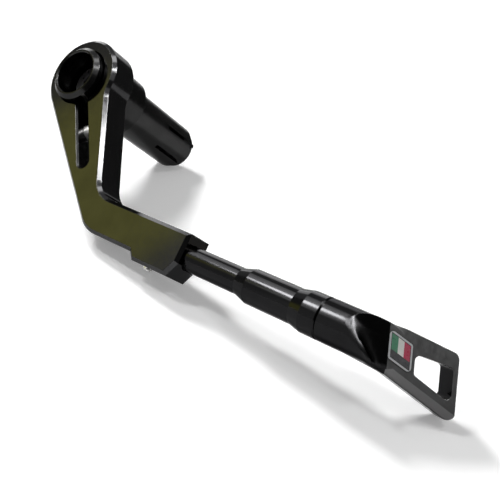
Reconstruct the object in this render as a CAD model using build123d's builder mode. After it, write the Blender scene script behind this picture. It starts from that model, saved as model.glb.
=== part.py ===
"""Brake lever guard for the end of a handlebar, in millimetres.

Frame: the origin is on the bar axis, at the shoulder that meets the end of the bar.
+Y runs into the bar, +X runs along the rod to the blade, and +Z is up.
"""
import os
from math import atan2, cos, degrees, radians, sin, sqrt, tan

from build123d import *

# Fits
turned_fit = 0.05           # radial clearance of turned fits and tapped holes
screw_clearance = 0.25      # radial clearance round shanks and heads
hole_end_gap = 0.6          # past the tip of the rod, the spigot and the clamp screw
screw_tip_chamfer = 0.5
screw_head_chamfer = 0.4

# Expander bolt and washer
bolt_radius = 4.0
bolt_head_radius = 6.5
bolt_head_height = 8.0
bolt_key = 6.0              # across the flats of the socket
bolt_key_depth = 4.0
bolt_tip_inset = 1.5        # inside the end of the wedge
washer_margin = 0.9         # washer past the bolt head
washer_thickness = 1.6
washer_chamfer = 0.2

# Bar end adapter
recess_clearance = 0.45     # round the washer
recess_depth = 18.0
recess_chamfer = 0.4
bush_wall = 2.15            # round the recess
bush_proud = 3.65           # stands in front of the arm
bush_chamfer = 1.3
collar_lip = 1.5            # collar past the bush
collar_length = 12.2        # behind the arm, up to the shoulder
collar_chamfer = 0.7
pilot_length = 4.0          # centres the sleeve on the adapter

# Expander sleeve and wedge nut
sleeve_radius = 9.1
sleeve_length = 35.7
sleeve_wall = 2.6
sleeve_chamfer = 0.6
mouth_wall = 1.15           # wall at the open end
slit_count = 6
slit_width = 1.6
slit_length = 17.0
slit_start_angle = 20.0     # from +X towards +Z
wedge_depth = 12.0          # reach of the wedge into the sleeve
wedge_proud = 3.3
wedge_round = 1.3
key_length = 5.0            # key of the wedge, inside one slit
key_inset = 0.3             # below the outside of the sleeve
key_clearance = 0.1         # on each side of the key

# Arm
arm_thickness = 12.0
ring_wall = 4.9            # round the bush
rod_drop = 43.2            # rod axis under the bar axis
arm_reach = 75.2            # bar axis to the end of the lower leg
outer_edge_angle = 40.4     # below +X
inner_edge_angle = 61.4     # below +X
inner_edge_offset = 12.2    # from the bar axis
leg_top = 6.7              # over the rod axis
leg_under = 5.65             # under the rod axis
boss_under = 8.0            # under the rod axis
boss_length = 17.0
boss_step = 2.1             # length of the slope up to the leg
end_cut_length = 2.4
end_cut_height = 5.0
elbow_round = 12.0
inner_round = 9.5
neck_round = 9.0
face_chamfer = 1.1
slot_angle = 54.2           # below +X
slot_width = 4.4
slot_reach = 36.8           # bar axis to the closed end
slot_chamfer = 0.6

# Clamp screw, across the slot
clamp_distance = 19.8       # from the bar axis, along the slot
clamp_radius = 2.5
clamp_head_radius = 4.25
clamp_head_height = 5.0
clamp_seat_wall = 2.7       # between the slot and the seat of the head
clamp_thread = 4.8          # reach of the screw past the slot
clamp_key = 4.0
clamp_key_depth = 2.6

# Rod
rod_slim_radius = 4.1
rod_mid_radius = 5.35
rod_end_radius = 6.2
rod_insert = 18.0           # inside the lower leg
rod_slim_length = 19.9
rod_first_cone = 4.2
rod_mid_length = 16.0
rod_second_cone = 3.8
rod_end_length = 5.3
rod_chamfer = 0.4
spigot_radius = 3.2
spigot_length = 7.0

# Set screw under the lower leg
set_radius = 1.5
set_from_end = 13.7
set_proud = 0.9
set_chamfer = 0.3
set_key = 1.5
set_key_depth = 1.2

# End blade
bend_start = 8.8            # from the rod to where the root begins to flatten
bend_distance = 15.8        # from the rod to where the flat crosses the rod axis
bend_angle = 40.0           # blade turned back from +X
root_length = 19.0          # round part in front, from the rod
blade_thickness = 8.9
blade_start = 6.0           # end of the bend, along the flat
blade_top = 6.45             # over the rod axis
blade_start_under = 6.65     # under the rod axis at the end of the bend
flare_angle = 11.2          # of the lower edge
tip_lean = 20.0             # top of the tip edge, back towards the rod
tip_rail = 1.4              # between the window and the tip edge
tip_top_round = 2.2
tip_under_round = 1.6
back_round = 1.5
bevel_face = 2.35            # bevel of the lower front edge
bevel_depth = 1.6
under_round = 1.4           # between the bevel and the underside

# Front cut of the blade, set out from the flat
ridge_angle = 36.0          # below the flat's length, of the ridge that the cut leaves at the root
ridge_round = 4.5           # hollow between the ridge and the flat
scoop_radius = 14.0
scoop_depth = 1.0
scoop_end = 3.4             # along the flat, level with the rod axis

# Badge, along the flat and level with the rod axis
badge_start = 3.5
badge_length = 6.8
badge_top = 4.4
badge_under = 2.2
badge_slope = 10.6          # below the flat's length
badge_thickness = 0.25
badge_round = 0.9

# Window in the blade
badge_gap = 1.0             # between the badge and the window
window_length = 11.4
window_top = 1.6           # at the start side
window_top_angle = 5.5
window_under = 3.2          # at the start side
window_under_angle = 12.5
window_round = 1.3

# Radii round the bar axis, from the bolt outwards
washer_radius = bolt_head_radius + washer_margin
recess_radius = washer_radius + recess_clearance
bush_radius = recess_radius + bush_wall
collar_radius = bush_radius + collar_lip
ring_bore = bush_radius + turned_fit
ring_radius = ring_bore + ring_wall
sleeve_bore = sleeve_radius - sleeve_wall
mouth_radius = sleeve_radius - mouth_wall

# Stations along the bar axis
arm_front = -(collar_length + arm_thickness)
adapter_front = arm_front - bush_proud
recess_floor = adapter_front + recess_depth
washer_face = recess_floor - washer_thickness
wedge_start = sleeve_length - wedge_depth
wedge_end = sleeve_length + wedge_proud
bolt_length = wedge_end - bolt_tip_inset - washer_face

# Rod axis and stations along it
rod_y = arm_front + arm_thickness / 2
rod_z = -rod_drop
slim_end = arm_reach + rod_slim_length
mid_start = slim_end + rod_first_cone
mid_end = mid_start + rod_mid_length
end_start = mid_end + rod_second_cone
parting = end_start + rod_end_length
set_x = arm_reach - set_from_end

# Planes and axes
bar_section = Plane.XY
arm_face = Plane.XZ.offset(-arm_front)
rod_section = Plane(origin=(0, rod_y, rod_z), x_dir=(1, 0, 0), z_dir=(0, 0, 1))
rod_axis = Axis(rod_section.origin, rod_section.x_dir)
set_end = Plane(origin=(set_x, rod_y, rod_z - boss_under - set_proud))


def crossing(start, angle, other_start, other_angle):
    """Point where two lines meet, each given by a point and an angle in degrees."""
    run = cos(radians(angle))
    rise = sin(radians(angle))
    other_run = cos(radians(other_angle))
    other_rise = sin(radians(other_angle))
    dx = other_start[0] - start[0]
    dy = other_start[1] - start[1]
    along = (dx * other_rise - dy * other_run) / (run * other_rise - rise * other_run)
    return (start[0] + along * run, start[1] + along * rise)


def across_rod(station):
    """Plane square to the rod axis at a station along it."""
    return Plane(origin=(station, rod_y, rod_z), x_dir=(0, 1, 0), z_dir=(1, 0, 0))


def cap_screw(seat, shank, shank_length, head, head_height, key, key_depth):
    """Socket head cap screw; the normal of the seat plane points along the shank."""
    along = Axis(seat.origin, seat.z_dir)
    with BuildPart() as screw:
        with BuildSketch(seat):
            Circle(shank)
        extrude(amount=shank_length)
        chamfer(screw.edges().sort_by(along)[-1], length=screw_tip_chamfer)
        with BuildSketch(seat):
            Circle(head)
        extrude(amount=-head_height)
        chamfer(screw.edges().sort_by(along)[0], length=screw_head_chamfer)
        with BuildSketch(seat.offset(-head_height)):
            RegularPolygon(key / 2, 6, major_radius=False)
        extrude(amount=key_depth, mode=Mode.SUBTRACT)
    return screw


# Bar end adapter: turned round the bar axis, with a deep recess for the bolt
with BuildPart() as bar_end_adapter:
    with BuildSketch(bar_section):
        with BuildLine():
            Polyline(
                (recess_radius + recess_chamfer, adapter_front),
                (bush_radius - bush_chamfer, adapter_front),
                (bush_radius, adapter_front + bush_chamfer),
                (bush_radius, -collar_length),
                (collar_radius - collar_chamfer, -collar_length),
                (collar_radius, -collar_length + collar_chamfer),
                (collar_radius, -collar_chamfer),
                (collar_radius - collar_chamfer, 0),
                (sleeve_bore - turned_fit, 0),
                (sleeve_bore - turned_fit, pilot_length),
                (bolt_radius + screw_clearance, pilot_length),
                (bolt_radius + screw_clearance, recess_floor),
                (recess_radius, recess_floor),
                (recess_radius, adapter_front + recess_chamfer),
                close=True,
            )
        make_face()
    revolve(axis=Axis.Y)

# Expander sleeve: tube with slits and a tapered mouth
with BuildPart() as expander_sleeve:
    with BuildSketch(bar_section):
        with BuildLine():
            Polyline(
                (sleeve_bore, 0),
                (sleeve_radius, 0),
                (sleeve_radius, sleeve_length - sleeve_chamfer),
                (sleeve_radius - sleeve_chamfer, sleeve_length),
                (mouth_radius, sleeve_length),
                (sleeve_bore, wedge_start),
                close=True,
            )
        make_face()
    revolve(axis=Axis.Y)
    with BuildSketch(Plane.XZ.offset(-sleeve_length)):
        with PolarLocations(sleeve_radius - sleeve_wall / 2, slit_count, start_angle=slit_start_angle):
            Rectangle(2 * sleeve_wall, slit_width)
    extrude(amount=slit_length, mode=Mode.SUBTRACT)

# Wedge nut: taper that spreads the sleeve, with a key in one slit
key_reach = sleeve_radius - key_inset - sleeve_bore
with BuildPart() as expander_cone:
    with BuildSketch(bar_section):
        with BuildLine():
            Polyline(
                (bolt_radius + turned_fit, wedge_start),
                (sleeve_bore - turned_fit, wedge_start),
                (mouth_radius - turned_fit, sleeve_length),
                (mouth_radius - turned_fit, wedge_end),
                (bolt_radius + turned_fit, wedge_end),
                close=True,
            )
        make_face()
    revolve(axis=Axis.Y)
    fillet(expander_cone.edges().group_by(Axis.Y)[-1].sort_by(SortBy.LENGTH)[-1], radius=wedge_round)
    with BuildSketch(Plane.XZ.offset(wedge_round - wedge_end)):
        with PolarLocations(sleeve_bore + key_reach / 2, 1, start_angle=slit_start_angle):
            Rectangle(key_reach, slit_width - 2 * key_clearance)
    extrude(amount=key_length + wedge_proud - wedge_round)

# Washer under the head of the expander bolt
with BuildPart() as bolt_washer:
    with BuildSketch(Plane.XZ.offset(-recess_floor)):
        Circle(washer_radius)
        Circle(bolt_radius + screw_clearance, mode=Mode.SUBTRACT)
    extrude(amount=washer_thickness)
    chamfer(bolt_washer.edges().filter_by(GeomType.CIRCLE), length=washer_chamfer)

# Expander bolt: head down in the recess, tip in the wedge
expander_bolt = cap_screw(
    Plane(origin=(0, washer_face, 0), x_dir=(1, 0, 0), z_dir=(0, 1, 0)),
    bolt_radius,
    bolt_length,
    bolt_head_radius,
    bolt_head_height,
    bolt_key,
    bolt_key_depth,
)

# Clamp screw: square to the slot, in the middle of the arm's thickness
slot_run = cos(radians(slot_angle))
slot_rise = -sin(radians(slot_angle))
clamp_middle = Plane(
    origin=(clamp_distance * slot_run, rod_y, clamp_distance * slot_rise),
    x_dir=(0, 1, 0),
    z_dir=(-slot_rise, 0, slot_run),
)
clamp_seat = clamp_middle.offset(-slot_width / 2 - clamp_seat_wall)
clamp_screw = cap_screw(
    clamp_seat,
    clamp_radius,
    clamp_seat_wall + slot_width + clamp_thread,
    clamp_head_radius,
    clamp_head_height,
    clamp_key,
    clamp_key_depth,
)

# Corners of the arm: ring, tapered upper leg, lower leg
outer_tangent = (
    -ring_radius * sin(radians(outer_edge_angle)),
    -ring_radius * cos(radians(outer_edge_angle)),
)
inner_foot = (
    inner_edge_offset * sin(radians(inner_edge_angle)),
    inner_edge_offset * cos(radians(inner_edge_angle)),
)
half_chord = sqrt(ring_radius**2 - inner_edge_offset**2)
neck = (
    inner_foot[0] + half_chord * cos(radians(inner_edge_angle)),
    inner_foot[1] - half_chord * sin(radians(inner_edge_angle)),
)
elbow = crossing(outer_tangent, -outer_edge_angle, (0, rod_z - leg_under), 0)
inner_corner = crossing(inner_foot, -inner_edge_angle, (0, rod_z + leg_top), 0)

with BuildPart() as arm:
    with BuildSketch(arm_face) as arm_outline:
        with BuildLine():
            Polyline(
                (0, 0),
                outer_tangent,
                elbow,
                (arm_reach - boss_length - boss_step, rod_z - leg_under),
                (arm_reach - boss_length, rod_z - boss_under),
                (arm_reach - end_cut_length, rod_z - boss_under),
                (arm_reach, rod_z - boss_under + end_cut_height),
                (arm_reach, rod_z + leg_top),
                inner_corner,
                neck,
                close=True,
            )
        make_face()
        Circle(ring_radius)
        fillet(arm_outline.vertices().sort_by_distance(elbow)[0], radius=elbow_round)
        fillet(arm_outline.vertices().sort_by_distance(inner_corner)[0], radius=inner_round)
        fillet(arm_outline.vertices().sort_by_distance(neck)[0], radius=neck_round)
    extrude(amount=-arm_thickness)
    chamfer(arm.faces().sort_by(Axis.Y)[0].edges(), length=face_chamfer)
    chamfer(arm.faces().sort_by(Axis.Y)[-1].edges(), length=face_chamfer)

    # Ring bore and pinch slot, with their edges broken
    slot_middle = slot_reach - slot_width / 2
    with BuildSketch(arm_face):
        Circle(ring_bore)
        with Locations((slot_middle / 2 * slot_run, slot_middle / 2 * slot_rise)):
            SlotCenterToCenter(slot_middle, slot_width, rotation=-slot_angle)
    extrude(amount=-arm_thickness, mode=Mode.SUBTRACT)
    for side in (0, -1):
        face = arm.faces().filter_by(Axis.Y).sort_by(Axis.Y)[side]
        chamfer(face.inner_wires()[0].edges(), length=slot_chamfer)

    # Clamp screw: shank hole, tapped hole and counterbore
    with BuildSketch(clamp_seat):
        Circle(clamp_radius + screw_clearance)
    extrude(amount=clamp_seat_wall + slot_width / 2, mode=Mode.SUBTRACT)
    with BuildSketch(clamp_middle):
        Circle(clamp_radius + turned_fit)
    extrude(amount=slot_width / 2 + clamp_thread + hole_end_gap, mode=Mode.SUBTRACT)
    with BuildSketch(clamp_seat):
        Circle(clamp_head_radius + screw_clearance)
    extrude(amount=-ring_radius, mode=Mode.SUBTRACT)

    # Rod bore and the tapped hole of its set screw
    with BuildSketch(across_rod(arm_reach)):
        Circle(rod_slim_radius + turned_fit)
    extrude(amount=-(rod_insert + hole_end_gap), mode=Mode.SUBTRACT)
    with BuildSketch(set_end):
        Circle(set_radius + turned_fit)
    extrude(amount=boss_under + set_proud, mode=Mode.SUBTRACT)

# Set screw: from the rod down past the boss
with BuildPart() as rod_set_screw:
    with BuildSketch(set_end):
        Circle(set_radius)
    extrude(amount=boss_under + set_proud - rod_slim_radius - turned_fit)
    chamfer(rod_set_screw.edges().filter_by(GeomType.CIRCLE), length=set_chamfer)
    with BuildSketch(set_end):
        RegularPolygon(set_key / 2, 6, major_radius=False)
    extrude(amount=set_key_depth, mode=Mode.SUBTRACT)

# Rod: stepped and turned, with a spigot for the blade
with BuildPart() as rod:
    with BuildSketch(rod_section):
        with BuildLine():
            Polyline(
                (arm_reach - rod_insert, 0),
                (arm_reach - rod_insert, rod_slim_radius - rod_chamfer),
                (arm_reach - rod_insert + rod_chamfer, rod_slim_radius),
                (slim_end, rod_slim_radius),
                (mid_start, rod_mid_radius),
                (mid_end, rod_mid_radius),
                (end_start, rod_end_radius),
                (parting - rod_chamfer, rod_end_radius),
                (parting, rod_end_radius - rod_chamfer),
                (parting, spigot_radius),
                (parting + spigot_length, spigot_radius),
                (parting + spigot_length, 0),
                close=True,
            )
        make_face()
    revolve(axis=rod_axis)

# Flat of the blade: local x along the blade, local y up, normal to the front
bend = radians(bend_angle)
flat = Plane(
    origin=(parting + bend_distance, rod_y, rod_z),
    x_dir=(cos(bend), sin(bend), 0),
    z_dir=(sin(bend), -cos(bend), 0),
)
flat_length = Axis(flat.origin, flat.x_dir)
side_angle = 90 + tip_lean
badge_end = badge_start + badge_length
window_start = badge_end + badge_gap
window_end = window_start + window_length
tip_distance = window_end + tip_rail

# Corners of the blade and its window
blade_corner = (blade_start, blade_top)
under_corner = (blade_start, -blade_start_under)
tip_top = crossing((tip_distance, 0), side_angle, blade_corner, 0)
tip_under = crossing((tip_distance, 0), side_angle, under_corner, -flare_angle)
window_high = (window_start, window_top)
window_low = (window_start, -window_under)
window_corners = [
    crossing((window_start, 0), side_angle, window_high, window_top_angle),
    crossing((window_end, 0), side_angle, window_high, window_top_angle),
    crossing((window_end, 0), side_angle, window_low, -window_under_angle),
    crossing((window_start, 0), side_angle, window_low, -window_under_angle),
]
badge_high = (badge_start, badge_top)
badge_low = (badge_start, -badge_under)
badge_corners = [
    crossing((badge_start, 0), side_angle, badge_high, -badge_slope),
    crossing((badge_end, 0), side_angle, badge_high, -badge_slope),
    crossing((badge_end, 0), side_angle, badge_low, -badge_slope),
    crossing((badge_start, 0), side_angle, badge_low, -badge_slope),
]
cut_reach = 3 * tip_distance

# Scoop cutter: a cylinder along the lean of the tip, kept above the ridge
scoop_axis = flat.y_dir * cos(radians(tip_lean)) - flat.x_dir * sin(radians(tip_lean))
scoop_across = flat.x_dir * cos(radians(tip_lean)) + flat.y_dir * sin(radians(tip_lean))
scoop_half = sqrt(scoop_radius**2 - (scoop_radius - scoop_depth) ** 2)
scoop_middle = flat.origin + scoop_across * (scoop_end * cos(radians(tip_lean)) - scoop_half)
scoop_centre = scoop_middle + flat.z_dir * (scoop_radius - scoop_depth)
ridge_run = flat.x_dir * cos(radians(ridge_angle)) - flat.y_dir * sin(radians(ridge_angle))
ridge_across = flat.x_dir * sin(radians(ridge_angle)) + flat.y_dir * cos(radians(ridge_angle))
ridge_section = Plane(origin=flat.origin, x_dir=ridge_across, z_dir=ridge_run)
ridge_floor = Plane(origin=flat.origin - flat.z_dir * scoop_depth, x_dir=ridge_across, z_dir=ridge_run)


def hollow_profile(section):
    """Region in front of the flat: straight along it, with a round rise to the ridge."""
    with BuildSketch(section) as profile:
        with BuildLine():
            Polyline(
                (0, 0),
                (cut_reach, 0),
                (cut_reach, cut_reach),
                (-ridge_round, cut_reach),
                (-ridge_round, ridge_round),
            )
            CenterArc((0, ridge_round), ridge_round, 180, 90)
        make_face()
    return profile.sketch


with BuildPart() as scoop_cutter:
    with BuildSketch(Plane(origin=scoop_centre, x_dir=scoop_across, z_dir=scoop_axis)):
        Circle(scoop_radius)
    extrude(amount=scoop_radius, both=True)
    extrude(hollow_profile(ridge_floor), amount=cut_reach, both=True, mode=Mode.INTERSECT)

# Blade: flat, bevelled and windowed, bent out of a round root
under_run = flat.x_dir * cos(radians(flare_angle)) - flat.y_dir * sin(radians(flare_angle))
under_down = -flat.x_dir * sin(radians(flare_angle)) - flat.y_dir * cos(radians(flare_angle))
bevel_section = Plane(
    origin=flat.from_local_coords(Vector(*under_corner, 0)),
    x_dir=under_down,
    z_dir=under_run,
)
bevel_turn = degrees(atan2(bevel_face, bevel_depth))
round_end = bevel_depth + under_round * tan(radians(bevel_turn / 2))
with BuildPart() as end_blade:
    with BuildSketch(flat) as blade_outline:
        with BuildLine():
            Polyline(blade_corner, tip_top, tip_under, under_corner, close=True)
        make_face()
        fillet(blade_outline.vertices().sort_by_distance(tip_top)[0], radius=tip_top_round)
        fillet(blade_outline.vertices().sort_by_distance(tip_under)[0], radius=tip_under_round)
    extrude(amount=-blade_thickness)
    back_face = end_blade.faces().sort_by(Axis(flat.origin, flat.z_dir))[0]
    fillet(back_face.edges().sort_by(flat_length)[1:], radius=back_round)
    with BuildSketch(bevel_section):
        with BuildLine():
            turn = CenterArc((-under_round, round_end), under_round, 0, -bevel_turn)
            Polyline(turn @ 0, (bevel_face, round_end), (bevel_face, 0), (-bevel_face, 0), turn @ 1)
        make_face()
    extrude(amount=cut_reach, both=True, mode=Mode.SUBTRACT)

    # Bend that flattens the round root into the blade
    start_face = end_blade.faces().sort_by(flat_length)[0]
    with BuildSketch(across_rod(parting + bend_start)) as root_circle:
        Circle(rod_end_radius)
    loft(sections=[root_circle.sketch.faces()[0], start_face])
    with BuildSketch(across_rod(parting)):
        Circle(rod_end_radius)
    extrude(amount=root_length)
    chamfer(end_blade.faces().sort_by(Axis.X)[0].edges(), length=rod_chamfer)

    # Front cut: the flat, the hollow up to the ridge, and the scoop
    extrude(hollow_profile(ridge_section), amount=cut_reach, both=True, mode=Mode.SUBTRACT)
    add(scoop_cutter.part, mode=Mode.SUBTRACT)

    # Window, and the socket for the rod's spigot
    with BuildSketch(flat) as window:
        with BuildLine():
            Polyline(*window_corners, close=True)
        make_face()
        fillet(window.vertices(), radius=window_round)
    extrude(amount=2 * blade_thickness, both=True, mode=Mode.SUBTRACT)
    with BuildSketch(across_rod(parting)):
        Circle(spigot_radius + turned_fit)
    extrude(amount=spigot_length + hole_end_gap, mode=Mode.SUBTRACT)

# Badge: thin sticker on the flat
with BuildPart() as badge:
    with BuildSketch(flat) as badge_outline:
        with BuildLine():
            Polyline(*badge_corners, close=True)
        make_face()
        fillet(badge_outline.vertices(), radius=badge_round)
    extrude(amount=badge_thickness)

os.makedirs("parts", exist_ok=True)
for name, piece in {
    "arm": arm,
    "clamp_screw": clamp_screw,
    "bar_end_adapter": bar_end_adapter,
    "expander_sleeve": expander_sleeve,
    "expander_cone": expander_cone,
    "expander_bolt": expander_bolt,
    "bolt_washer": bolt_washer,
    "rod": rod,
    "rod_set_screw": rod_set_screw,
    "end_blade": end_blade,
    "badge": badge,
}.items():
    piece.part.label = name
    export_step(piece.part, f"parts/{name}.step")
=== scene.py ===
"""Looks of the brake lever guard: finishes, a white sheet to lie on, studio lamps and the camera.

Lengths are in metres and angles in degrees. The part keeps its own frame, and the white sheet is
tilted to the three points that the part lies on.
"""
from math import cos, radians, sin, tan

import bpy
from mathutils import Matrix, Vector

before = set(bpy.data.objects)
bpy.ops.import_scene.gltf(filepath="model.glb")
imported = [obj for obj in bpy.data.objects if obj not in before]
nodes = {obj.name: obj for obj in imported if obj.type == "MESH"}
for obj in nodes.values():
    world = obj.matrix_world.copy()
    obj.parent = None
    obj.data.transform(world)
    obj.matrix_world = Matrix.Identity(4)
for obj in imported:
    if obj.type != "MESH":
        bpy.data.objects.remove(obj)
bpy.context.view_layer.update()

MM = 0.001
ORIGIN = (0, 0, 0)
X_AXIS = (1, 0, 0)

# Camera: turned round the target from a view along +Y, then rolled
CAMERA_TARGET = Vector((0.07526, 0.00880, -0.03101))
CAMERA_AZIMUTH = 33.28
CAMERA_ELEVATION = -4.86
CAMERA_ROLL = -25.61
CAMERA_DISTANCE = 0.25113
CAMERA_LENS = 54.0
SENSOR_WIDTH = 36.0
CLIP_START = 0.01
CLIP_END = 20.0

# White sheet under the elbow, the wedge nut and the tip of the blade
SHEET_UP = Vector((0.1191, -0.5626, 0.8181)).normalized()
SHEET_SIZE = 4.0
SHEET_WHITE = 0.84
SHEET_GLOW = 0.25

# World: white to look at and in reflections, softer as light
WORLD_WHITE = 1.0
WORLD_LIGHT = 0.25

# Lamps, with the power per area that gives a radiance of 1, and cards on a wide dome
LAMP_DISTANCE = 3.0
LAMP_POWER = 4.0
CARD_DISTANCE = 6.0
CARD_COLUMNS = 16
CARD_ROWS = 6
NEUTRAL = (1.0, 1.0, 1.0)
OLIVE = (1.0, 0.97, 0.30)

# Flat of the blade: where the rod's axis meets it, and its own directions
BEND = 40.0
TIP_LEAN = 20.0
FLAT_ORIGIN = Vector((140.2, -18.2, -43.2)) * MM
FLAT_ALONG = Vector((cos(radians(BEND)), sin(radians(BEND)), 0))
FLAT_NORMAL = Vector((sin(radians(BEND)), -cos(radians(BEND)), 0))
FLAT_UP = Vector((0, 0, 1))
LEANING = FLAT_ALONG + FLAT_UP * tan(radians(TIP_LEAN))

# Badge on the flat: sizes, fields of colour and its other inks
BADGE_START = 3.5 * MM
BADGE_LENGTH = 6.8 * MM
BADGE_UNDER = 2.2 * MM
BADGE_HEIGHT = 6.6 * MM
BADGE_SLOPE = 10.6
BADGE_BAND = 2.4 * MM
BADGE_BORDER = 0.45 * MM
BADGE_LINE = 0.65 * MM
FIELD_GREEN = (0.07, 0.24, 0.14, 1)
FIELD_PALE = (0.74, 0.74, 0.70, 1)
FIELD_RED = (0.46, 0.045, 0.09, 1)
PALE_FROM = 0.37
RED_FROM = 0.63
BAND_INK = (0.06, 0.06, 0.065)
LINE_INK = (0.05, 0.05, 0.055)
BORDER_SILVER = (0.52, 0.53, 0.54)
FADED_INK = (0.3, 0.3, 0.3)
FADED_PATCH = 1.0 * MM
FADED_RANGE = (0.45, 0.75)
MOST_FADED = 0.12
FOIL_PATCH = 0.6 * MM
FOIL_ROUGHNESS = (0.25, 0.38)
FOIL_TOOTH = 0.15 * MM
FOIL_DEPTH = 0.01 * MM
FOIL_STRENGTH = 0.08

# Noise: its detail, the part of its range that is used, the usual sizes of its grain, and its stretch
NOISE_DETAIL = 3.0
NOISE_RANGE = (0.3, 0.7)
CLOUD_RANGE = (0.35, 0.65)
CLOUD_SIZE = 9.0 * MM
ROUGH_PATCH = 1.5 * MM
EVEN = (1, 1, 1)
ROUND_X = (1, 0.05, 0.05)
ROUND_Y = (0.05, 1, 0.05)

# Edges of black oxide: how they are rounded, and where they are rubbed
EDGE_RADIUS = 0.07 * MM
EDGE_SAMPLES = 16
EDGE_TURN = (0.98, 0.80)
EDGE_WEAR = 1.7
EDGE_ROUGHER = 0.16
WEAR_PATCH = 3.0 * MM
WEAR_RANGE = (0.40, 0.62)
LEAST_WEAR = 0.15
TOOTH_SIZE = 0.12 * MM
TOOTH_DEPTH = 0.02 * MM
TOOTH_STRENGTH = 0.03

# Black oxide: dark and light shades, roughness, and how far grazing reflections are held back
ARM_SHADES = ((0.036, 0.036, 0.037), (0.043, 0.043, 0.044))
ARM_ROUGHNESS = (0.08, 0.13)
ARM_TINT = 0.6
# Painted shade: the arm's end face, turned along X and past a distance along X, is coloured near black for
# its dim reflection
END_PAINTED_SHADE = (0.008, 0.0075, 0.007)
END_SHADE_PAST = 70.0 * MM
END_SHADE_TURN = (0.94, 0.99)
ROD_SHADES = ((0.012, 0.012, 0.0125), (0.0145, 0.0145, 0.015))
ROD_ROUGHNESS = (0.12, 0.18)
ROD_TINT = 0.65
ADAPTER_SHADES = ((0.020, 0.020, 0.020), (0.025, 0.025, 0.025))
ADAPTER_ROUGHNESS = (0.14, 0.20)
EXPANDER_SHADES = ((0.027, 0.027, 0.027), (0.032, 0.032, 0.032))
EXPANDER_ROUGHNESS = (0.18, 0.24)

# Blade: satin flat and bevel past the scoop, polished before it; their lighter greys are partly satin
# finish and partly painted sheen
FLAT_SATIN_AND_SHEEN_SHADES = ((0.072, 0.072, 0.072), (0.084, 0.084, 0.084))
# Painted highlight: the bevel is coloured a lighter grey than the flat
BEVEL_PAINTED_HIGHLIGHT_GREY = (0.112, 0.111, 0.112)
POLISHED_ROUGHNESS = (0.14, 0.19)
SATIN_ROUGHNESS = (0.33, 0.40)
BLADE_TINT = 0.5
BLADE_CLOUD = 8.0 * MM
BLADE_PATCH = 1.2 * MM
BLADE_TOOTH_SIZE = 0.1 * MM
BLADE_TOOTH_STRENGTH = 0.05
# Painted sheen and shade: only faces turned towards the flat's front get the lighter grey, so the window's
# walls keep the polished black
SHEEN_FRONT_TURN = (0.35, 0.55)
BEVEL_HIGHLIGHT_TURN = (0.86, 0.97)
SCOOP_END = 3.4 * MM
SCOOP_BLEND = 0.1 * MM

# Soft ridge of the scoop: its radius, where it starts along X, and its foot and top in height
RIDGE_RADIUS = 6.5 * MM
RIDGE_START = 129.0 * MM
RIDGE_FULL = 134.0 * MM
RIDGE_FOOT = -46.5 * MM
RIDGE_FADE = -41.2 * MM
RIDGE_TOP = -39.4 * MM
FOOT_SOFTNESS = 0.45

# Bare and blackened steel
BRIGHT_SHADES = ((0.70, 0.69, 0.67), (0.82, 0.81, 0.79))
BRIGHT_ROUGHNESS = (0.32, 0.44)
BLACKENED_SHADES = ((0.09, 0.09, 0.09), (0.13, 0.13, 0.13))
BLACKENED_ROUGHNESS = (0.25, 0.35)
MARK_SIZE = 0.3 * MM
MARK_STRENGTH = 0.15


def stage_axes():
    """Directions on the white sheet: back to the camera, away from it, to its right, and up."""
    azimuth = radians(CAMERA_AZIMUTH)
    elevation = radians(CAMERA_ELEVATION)
    back = Vector((sin(azimuth) * cos(elevation), -cos(azimuth) * cos(elevation), sin(elevation)))
    away = (-back - SHEET_UP * -back.dot(SHEET_UP)).normalized()
    return back, away, away.cross(SHEET_UP), SHEET_UP


BACK, AWAY, RIGHT, UP = stage_axes()


def sky(azimuth, elevation):
    """Direction above the sheet; azimuth runs to the right from straight ahead of the camera."""
    level = AWAY * cos(radians(azimuth)) + RIGHT * sin(radians(azimuth))
    return level * cos(radians(elevation)) + UP * sin(radians(elevation))


def facing(direction, up):
    """Rotation whose local -Z looks along a direction."""
    z = -direction.normalized()
    x = up.cross(z).normalized()
    return Matrix((x, z.cross(x), z)).transposed()


def place(obj, location, rotation):
    """Links an object to the scene and sets where it stands."""
    bpy.context.scene.collection.objects.link(obj)
    obj.matrix_world = Matrix.Translation(location) @ rotation.to_4x4()
    return obj


def add(tree, kind, **settings):
    """New shader node with its settings."""
    node = tree.nodes.new(kind)
    for key, value in settings.items():
        setattr(node, key, value)
    return node


def feed(tree, socket, value):
    """Sets a socket to a number or a colour, or links another socket to it."""
    if isinstance(value, bpy.types.NodeSocket):
        tree.links.new(value, socket)
    else:
        socket.default_value = value


def calc(tree, operation, first, second):
    """Result of a sum on two numbers or sockets."""
    node = add(tree, "ShaderNodeMath", operation=operation)
    feed(tree, node.inputs[0], first)
    feed(tree, node.inputs[1], second)
    return node.outputs["Value"]


def remap(tree, value, old, new=(0.0, 1.0)):
    """Value moved from one range to another and held within it."""
    node = add(tree, "ShaderNodeMapRange")
    tree.links.new(value, node.inputs["Value"])
    node.inputs["From Min"].default_value = old[0]
    node.inputs["From Max"].default_value = old[1]
    node.inputs["To Min"].default_value = new[0]
    node.inputs["To Max"].default_value = new[1]
    return node.outputs["Result"]


def shade(tree, factor, dark, light):
    """Colour between two, each a colour or a socket."""
    mix = add(tree, "ShaderNodeMix", data_type="RGBA")
    ends = [socket for socket in mix.inputs if socket.type == "RGBA"]
    for socket, colour in zip(ends, (dark, light)):
        feed(tree, socket, colour if isinstance(colour, bpy.types.NodeSocket) else (*colour, 1))
    feed(tree, mix.inputs["Factor"], factor)
    return next(socket for socket in mix.outputs if socket.type == "RGBA")


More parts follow.
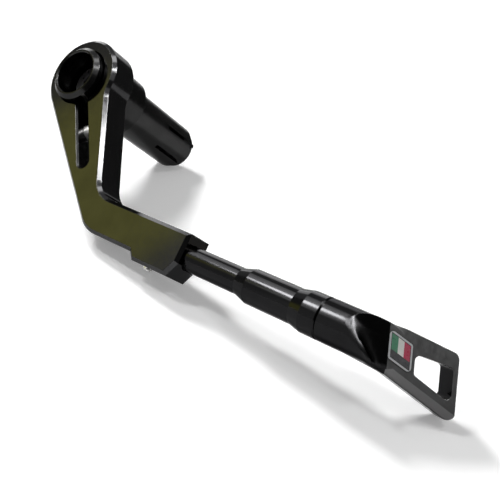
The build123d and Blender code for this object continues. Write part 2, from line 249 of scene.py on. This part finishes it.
def empty_material(name):
    """Material with an empty tree and its output."""
    material = bpy.data.materials.new(name)
    material.use_nodes = True
    tree = material.node_tree
    tree.nodes.clear()
    return material, tree, add(tree, "ShaderNodeOutputMaterial")


def new_material(name):
    """Material with a principled shader on its output."""
    material, tree, output = empty_material(name)
    shader = add(tree, "ShaderNodeBsdfPrincipled")
    tree.links.new(shader.outputs["BSDF"], output.inputs["Surface"])
    return material, tree, shader


def grain(tree, size, stretch=EVEN):
    """Noise with a grain of about the given size, drawn out where the stretch is small."""
    coordinates = add(tree, "ShaderNodeTexCoord")
    mapping = add(tree, "ShaderNodeMapping")
    mapping.inputs["Scale"].default_value = stretch
    tree.links.new(coordinates.outputs["Object"], mapping.inputs["Vector"])
    noise = add(tree, "ShaderNodeTexNoise")
    noise.inputs["Scale"].default_value = 1 / size
    noise.inputs["Detail"].default_value = NOISE_DETAIL
    tree.links.new(mapping.outputs["Vector"], noise.inputs["Vector"])
    return noise.outputs["Fac"]


def measure(tree, direction, origin=ORIGIN):
    """How far the surface point lies along a direction from an origin."""
    coordinates = add(tree, "ShaderNodeTexCoord")
    moved = add(tree, "ShaderNodeVectorMath", operation="SUBTRACT")
    moved.inputs[1].default_value = origin
    tree.links.new(coordinates.outputs["Object"], moved.inputs[0])
    along = add(tree, "ShaderNodeVectorMath", operation="DOT_PRODUCT")
    along.inputs[1].default_value = direction
    tree.links.new(moved.outputs["Vector"], along.inputs[0])
    return along.outputs["Value"]


def turned_to(tree, direction):
    """How far the surface faces a direction, from -1 to 1."""
    coordinates = add(tree, "ShaderNodeTexCoord")
    along = add(tree, "ShaderNodeVectorMath", operation="DOT_PRODUCT")
    along.inputs[1].default_value = direction
    tree.links.new(coordinates.outputs["Normal"], along.inputs[0])
    return along.outputs["Value"]


def soft_edges(tree, radius):
    """Normal rounded at the edges, and how near an edge the surface point is."""
    bevel = add(tree, "ShaderNodeBevel", samples=EDGE_SAMPLES)
    feed(tree, bevel.inputs["Radius"], radius)
    geometry = add(tree, "ShaderNodeNewGeometry")
    along = add(tree, "ShaderNodeVectorMath", operation="DOT_PRODUCT")
    tree.links.new(bevel.outputs["Normal"], along.inputs[0])
    tree.links.new(geometry.outputs["Normal"], along.inputs[1])
    return bevel.outputs["Normal"], remap(tree, along.outputs["Value"], EDGE_TURN)


def roughen(tree, shader, height, depth, strength, normal=None):
    """Bump from a height, on top of a normal."""
    bump = add(tree, "ShaderNodeBump")
    bump.inputs["Distance"].default_value = depth
    bump.inputs["Strength"].default_value = strength
    tree.links.new(height, bump.inputs["Height"])
    if normal is not None:
        tree.links.new(normal, bump.inputs["Normal"])
    tree.links.new(bump.outputs["Normal"], shader.inputs["Normal"])


def oxide(tree, shader, colour, roughness, tint, radius=EDGE_RADIUS):
    """Dyed oxide on metal, with edges that are slightly rubbed; gives the normal rounded at its edges."""
    shader.inputs["Metallic"].default_value = 1.0
    shader.inputs["Specular Tint"].default_value = (tint, tint, tint, 1)
    normal, edge = soft_edges(tree, radius)
    worn = calc(tree, "MULTIPLY", edge, remap(tree, grain(tree, WEAR_PATCH), WEAR_RANGE, (LEAST_WEAR, 1.0)))
    bright = add(tree, "ShaderNodeVectorMath", operation="SCALE")
    bright.inputs["Scale"].default_value = EDGE_WEAR
    tree.links.new(colour, bright.inputs[0])
    tree.links.new(shade(tree, worn, colour, bright.outputs["Vector"]), shader.inputs["Base Color"])
    rubbed = calc(tree, "ADD", roughness, calc(tree, "MULTIPLY", edge, EDGE_ROUGHER))
    tree.links.new(rubbed, shader.inputs["Roughness"])
    return normal


def anodised(name, shades, roughness, tint, stretch=EVEN, shade_past=None):
    """Clouded oxide with a fine tooth; a face across X that lies past a distance may get painted shade, a
    near-black colour standing in for its dim reflection.
    """
    material, tree, shader = new_material(name)
    colour = shade(tree, remap(tree, grain(tree, CLOUD_SIZE), CLOUD_RANGE), *shades)
    if shade_past is not None:
        # Painted shade on the end face: near-black colour instead of its dim reflection
        past = calc(tree, "GREATER_THAN", measure(tree, X_AXIS), shade_past)
        across = remap(tree, turned_to(tree, X_AXIS), END_SHADE_TURN)
        colour = shade(tree, calc(tree, "MULTIPLY", past, across), colour, END_PAINTED_SHADE)
    patches = remap(tree, grain(tree, ROUGH_PATCH, stretch), NOISE_RANGE, roughness)
    normal = oxide(tree, shader, colour, patches, tint)
    roughen(tree, shader, grain(tree, TOOTH_SIZE, stretch), TOOTH_DEPTH, TOOTH_STRENGTH, normal)
    return material


def ridge_radius(tree, past_scoop):
    """Radius of the blade's edges: wide on the scoop's ridge, most at its top, and small elsewhere."""
    past_root = remap(tree, measure(tree, X_AXIS), (RIDGE_START, RIDGE_FULL))
    height = measure(tree, FLAT_UP)
    above_foot = remap(tree, height, (RIDGE_FOOT, RIDGE_FADE), (FOOT_SOFTNESS, 1.0))
    below_rim = remap(tree, height, (RIDGE_FADE, RIDGE_TOP), (1.0, 0.0))
    softness = calc(tree, "MULTIPLY", above_foot, below_rim)
    ridge = calc(tree, "MULTIPLY", calc(tree, "SUBTRACT", past_root, past_scoop), softness)
    return remap(tree, ridge, (0.0, 1.0), (EDGE_RADIUS, RIDGE_RADIUS))


def anodised_blade(name):
    """Blade: polished at its root and in the scoop, satin on the flat and its bevel; the lighter grey is
    partly painted sheen, given only to faces turned to the front and lightest on the bevel as a painted
    highlight.
    """
    material, tree, shader = new_material(name)
    scoop_border = (SCOOP_END - SCOOP_BLEND, SCOOP_END + SCOOP_BLEND)
    past_scoop = remap(tree, measure(tree, LEANING, FLAT_ORIGIN), scoop_border)
    turned = turned_to(tree, FLAT_NORMAL)
    # Painted sheen: the lighter grey goes by which way the face is turned
    satin_and_sheen = calc(tree, "MULTIPLY", past_scoop, remap(tree, turned, SHEEN_FRONT_TURN))
    clouds = remap(tree, grain(tree, BLADE_CLOUD), CLOUD_RANGE)
    flat_satin_and_sheen = shade(tree, clouds, *FLAT_SATIN_AND_SHEEN_SHADES)
    # Painted highlight: lighter grey on the bevel
    satin_and_highlight_grey = shade(tree, remap(tree, turned, BEVEL_HIGHLIGHT_TURN), BEVEL_PAINTED_HIGHLIGHT_GREY, flat_satin_and_sheen)
    colour = shade(tree, satin_and_sheen, shade(tree, clouds, *ROD_SHADES), satin_and_highlight_grey)
    patches = grain(tree, BLADE_PATCH)
    smooth = remap(tree, patches, NOISE_RANGE, POLISHED_ROUGHNESS)
    rough = remap(tree, patches, NOISE_RANGE, SATIN_ROUGHNESS)
    change = calc(tree, "MULTIPLY", satin_and_sheen, calc(tree, "SUBTRACT", rough, smooth))
    roughness = calc(tree, "ADD", smooth, change)
    normal = oxide(tree, shader, colour, roughness, BLADE_TINT, ridge_radius(tree, past_scoop))
    roughen(tree, shader, grain(tree, BLADE_TOOTH_SIZE), TOOTH_DEPTH, BLADE_TOOTH_STRENGTH, normal)
    return material


def steel(name, shades, roughness):
    """Steel with fine marks from machining."""
    material, tree, shader = new_material(name)
    shader.inputs["Metallic"].default_value = 1.0
    marks = grain(tree, MARK_SIZE)
    tree.links.new(shade(tree, marks, *shades), shader.inputs["Base Color"])
    patches = remap(tree, grain(tree, ROUGH_PATCH), NOISE_RANGE, roughness)
    tree.links.new(patches, shader.inputs["Roughness"])
    roughen(tree, shader, marks, TOOTH_DEPTH, MARK_STRENGTH)
    return material


def printed_badge(name):
    """Printed foil: three fields of colour over a plain dark band, a thin line and a silver border."""
    material, tree, shader = new_material(name)
    edge = FLAT_ORIGIN + FLAT_ALONG * BADGE_START
    along = measure(tree, LEANING, edge)
    upward = measure(tree, FLAT_UP + FLAT_ALONG * tan(radians(BADGE_SLOPE)), edge - FLAT_UP * BADGE_UNDER)
    fields = add(tree, "ShaderNodeValToRGB")
    ramp = fields.color_ramp
    ramp.interpolation = "CONSTANT"
    ramp.elements[0].color = FIELD_GREEN
    ramp.elements[1].position = PALE_FROM
    ramp.elements[1].color = FIELD_PALE
    ramp.elements.new(RED_FROM).color = FIELD_RED
    tree.links.new(calc(tree, "DIVIDE", along, BADGE_LENGTH), fields.inputs["Fac"])
    above = calc(tree, "GREATER_THAN", upward, BADGE_BAND)
    inside = shade(tree, above, BAND_INK, fields.outputs["Color"])
    margin = calc(tree, "MINIMUM", along, calc(tree, "SUBTRACT", BADGE_LENGTH, along))
    margin = calc(tree, "MINIMUM", margin, upward)
    margin = calc(tree, "MINIMUM", margin, calc(tree, "SUBTRACT", BADGE_HEIGHT, upward))
    lined = shade(tree, calc(tree, "LESS_THAN", margin, BADGE_LINE), inside, LINE_INK)
    edged = shade(tree, calc(tree, "LESS_THAN", margin, BADGE_BORDER), lined, BORDER_SILVER)
    fading = remap(tree, grain(tree, FADED_PATCH), FADED_RANGE, (0.0, MOST_FADED))
    tree.links.new(shade(tree, fading, edged, FADED_INK), shader.inputs["Base Color"])
    patches = remap(tree, grain(tree, FOIL_PATCH), NOISE_RANGE, FOIL_ROUGHNESS)
    tree.links.new(patches, shader.inputs["Roughness"])
    roughen(tree, shader, grain(tree, FOIL_TOOTH), FOIL_DEPTH, FOIL_STRENGTH)
    return material


def seen_rays(tree):
    """1 for rays from the camera, reflections and refractions, and 0 for light."""
    path = add(tree, "ShaderNodeLightPath")
    seen = calc(tree, "MAXIMUM", path.outputs["Is Camera Ray"], path.outputs["Is Glossy Ray"])
    return calc(tree, "MAXIMUM", seen, path.outputs["Is Transmission Ray"])


def sheet_material():
    """White sheet that keeps its shadows; seen from underneath it is clear."""
    material, tree, output = empty_material("white_sheet")
    shader = add(tree, "ShaderNodeBsdfPrincipled")
    shader.inputs["Base Color"].default_value = (SHEET_WHITE, SHEET_WHITE, SHEET_WHITE, 1)
    shader.inputs["Roughness"].default_value = 1.0
    shader.inputs["Specular IOR Level"].default_value = 0.0
    shader.inputs["Emission Color"].default_value = (*NEUTRAL, 1)
    glow = calc(tree, "MULTIPLY", seen_rays(tree), SHEET_GLOW)
    tree.links.new(glow, shader.inputs["Emission Strength"])
    clear = add(tree, "ShaderNodeBsdfTransparent")
    geometry = add(tree, "ShaderNodeNewGeometry")
    mix = add(tree, "ShaderNodeMixShader")
    tree.links.new(geometry.outputs["Backfacing"], mix.inputs["Fac"])
    tree.links.new(shader.outputs["BSDF"], mix.inputs[1])
    tree.links.new(clear.outputs["BSDF"], mix.inputs[2])
    tree.links.new(mix.outputs["Shader"], output.inputs["Surface"])
    return material


def make_sheet():
    """White sheet, as low as the part reaches along the sheet's own up."""
    level = min(v.co.dot(SHEET_UP) for node in nodes.values() for v in node.data.vertices)
    mesh = bpy.data.meshes.new("white_sheet")
    half = SHEET_SIZE / 2
    corners = [(-half, -half, 0), (half, -half, 0), (half, half, 0), (-half, half, 0)]
    mesh.from_pydata(corners, [], [(0, 1, 2, 3)])
    mesh.materials.append(sheet_material())
    middle = CAMERA_TARGET + SHEET_UP * (level - CAMERA_TARGET.dot(SHEET_UP))
    sheet = place(bpy.data.objects.new("white_sheet", mesh), middle, facing(-SHEET_UP, AWAY))


def make_world():
    """White world."""
    world = bpy.data.worlds.new("studio")
    bpy.context.scene.world = world
    world.use_nodes = True
    tree = world.node_tree
    background = tree.nodes["Background"]
    background.inputs["Color"].default_value = (*NEUTRAL, 1)
    strength = remap(tree, seen_rays(tree), (0.0, 1.0), (WORLD_LIGHT, WORLD_WHITE))
    tree.links.new(strength, background.inputs["Strength"])


def make_camera():
    """Camera at the photograph's viewing angle."""
    data = bpy.data.cameras.new("camera")
    data.lens = CAMERA_LENS
    data.sensor_width = SENSOR_WIDTH
    data.clip_start = CLIP_START
    data.clip_end = CLIP_END
    level_right = (-BACK).cross(Vector((0, 0, 1))).normalized()
    level_up = level_right.cross(-BACK)
    roll = radians(CAMERA_ROLL)
    up = level_up * cos(roll) + level_right * sin(roll)
    location = CAMERA_TARGET + BACK * CAMERA_DISTANCE
    bpy.context.scene.camera = place(bpy.data.objects.new("camera", data), location, facing(-BACK, up))


def lamp(name, azimuth, elevation, width, radiance):
    """Square lamp above the sheet, sized by the angle it fills; reflections don't show it."""
    data = bpy.data.lights.new(name, "AREA")
    data.shape = "SQUARE"
    data.size = 2 * LAMP_DISTANCE * tan(radians(width / 2))
    data.energy = LAMP_POWER * radiance * data.size ** 2
    direction = sky(azimuth, elevation)
    location = CAMERA_TARGET + direction * LAMP_DISTANCE
    obj = place(bpy.data.objects.new(name, data), location, facing(-direction, UP))
    obj.visible_camera = False
    obj.visible_glossy = False


def dome_patch(name, azimuths, elevations):
    """Mesh of a part of a wide dome round the stage."""
    points = []
    for row in range(CARD_ROWS + 1):
        elevation = elevations[0] + (elevations[1] - elevations[0]) * row / CARD_ROWS
        for column in range(CARD_COLUMNS + 1):
            azimuth = azimuths[0] + (azimuths[1] - azimuths[0]) * column / CARD_COLUMNS
            points.append(CAMERA_TARGET + sky(azimuth, elevation) * CARD_DISTANCE)
    faces = []
    for row in range(CARD_ROWS):
        for column in range(CARD_COLUMNS):
            corner = row * (CARD_COLUMNS + 1) + column
            faces.append((corner, corner + 1, corner + CARD_COLUMNS + 2, corner + CARD_COLUMNS + 1))
    mesh = bpy.data.meshes.new(name)
    mesh.from_pydata(points, [], faces)
    return mesh


def card(name, azimuths, elevations, radiance, colour=NEUTRAL):
    """Glowing card on the dome, which only reflections show."""
    material, tree, output = empty_material(name)
    light = add(tree, "ShaderNodeEmission")
    light.inputs["Color"].default_value = (*colour, 1)
    light.inputs["Strength"].default_value = radiance
    tree.links.new(light.outputs["Emission"], output.inputs["Surface"])
    mesh = dome_patch(name, azimuths, elevations)
    mesh.materials.append(material)
    obj = bpy.data.objects.new(name, mesh)
    bpy.context.scene.collection.objects.link(obj)
    obj.visible_camera = False
    obj.visible_diffuse = False
    obj.visible_shadow = False


def dress(node, material):
    """Gives a CAD piece its finish."""
    mesh = nodes[node].data
    mesh.materials.clear()
    mesh.materials.append(material)


bpy.context.scene.view_settings.view_transform = "Standard"
make_camera()
make_world()
make_sheet()

# Lamps, which light the part and cast its shadows
lamp("back_lamp", azimuth=-42, elevation=39, width=11, radiance=68.0)
lamp("left_lamp", azimuth=-79, elevation=53, width=7, radiance=46.0)
lamp("top_lamp", azimuth=132, elevation=74, width=5, radiance=30.0)

# Bright panels and their glow, which make the highlights on the black metal
card("back_panel", azimuths=(-25, 10), elevations=(8, 32), radiance=5.5)
card("top_panel", azimuths=(121, 142), elevations=(68, 76), radiance=44.0)
card("top_side_panel", azimuths=(112, 124), elevations=(57, 69), radiance=20.0)
card("ridge_side_panel", azimuths=(86, 112), elevations=(57, 74), radiance=200.0)
card("side_panel", azimuths=(70, 96), elevations=(40, 57), radiance=6.0)
card("left_panel", azimuths=(-94, -76), elevations=(46, 57), radiance=60.0)
card("ridge_panel", azimuths=(-150, -97), elevations=(58, 78), radiance=40.0)
card("overhead_panel", azimuths=(-165, -112), elevations=(76, 83), radiance=60.0)
card("overhead_back_panel", azimuths=(-10, 45), elevations=(70, 84), radiance=9.0)
card("left_glow_near", azimuths=(-76, -52), elevations=(44, 64), radiance=7.0)
card("left_glow_far", azimuths=(-52, -32), elevations=(40, 62), radiance=5.0)
card("left_glow_side", azimuths=(-100, -94), elevations=(42, 54), radiance=12.0)
card("left_glow_low", azimuths=(-107, -99), elevations=(33, 48), radiance=4.5)

# Dim walls of the room, one of them olive, which keep the rest of the metal dark
card("right_card", azimuths=(14, 96), elevations=(-6, 31), radiance=0.14)
card("right_high_card", azimuths=(50, 120), elevations=(31, 42), radiance=0.20)
card("back_card", azimuths=(-34, 14), elevations=(33, 62), radiance=0.7)
card("left_card", azimuths=(-112, -98), elevations=(-6, 33), radiance=0.7)
card("far_left_card", azimuths=(-84, -58), elevations=(-6, 38), radiance=0.40)
card("olive_card", azimuths=(-98, -84), elevations=(-6, 40), radiance=1.5, colour=OLIVE)
card("near_card", azimuths=(120, 208), elevations=(-6, 52), radiance=0.10)

# Finishes
# The arm's end face carries painted shade
black_arm = anodised("black_anodised_arm", ARM_SHADES, ARM_ROUGHNESS, ARM_TINT, shade_past=END_SHADE_PAST)
black_rod = anodised("black_anodised_rod", ROD_SHADES, ROD_ROUGHNESS, ROD_TINT, ROUND_X)
black_adapter = anodised("black_anodised_adapter", ADAPTER_SHADES, ADAPTER_ROUGHNESS, ARM_TINT, ROUND_Y)
black_blade = anodised_blade("black_anodised_blade")
grey_satin = anodised("grey_anodised_expander", EXPANDER_SHADES, EXPANDER_ROUGHNESS, ARM_TINT, ROUND_Y)
bright_steel = steel("bright_steel", BRIGHT_SHADES, BRIGHT_ROUGHNESS)
black_steel = steel("black_steel", BLACKENED_SHADES, BLACKENED_ROUGHNESS)
badge_print = printed_badge("badge_print")

dress("arm", black_arm)
dress("bar_end_adapter", black_adapter)
dress("rod", black_rod)
dress("end_blade", black_blade)
dress("expander_sleeve", grey_satin)
dress("expander_cone", grey_satin)
dress("expander_bolt", black_steel)
dress("bolt_washer", black_steel)
dress("clamp_screw", bright_steel)
dress("rod_set_screw", bright_steel)
dress("badge", badge_print)
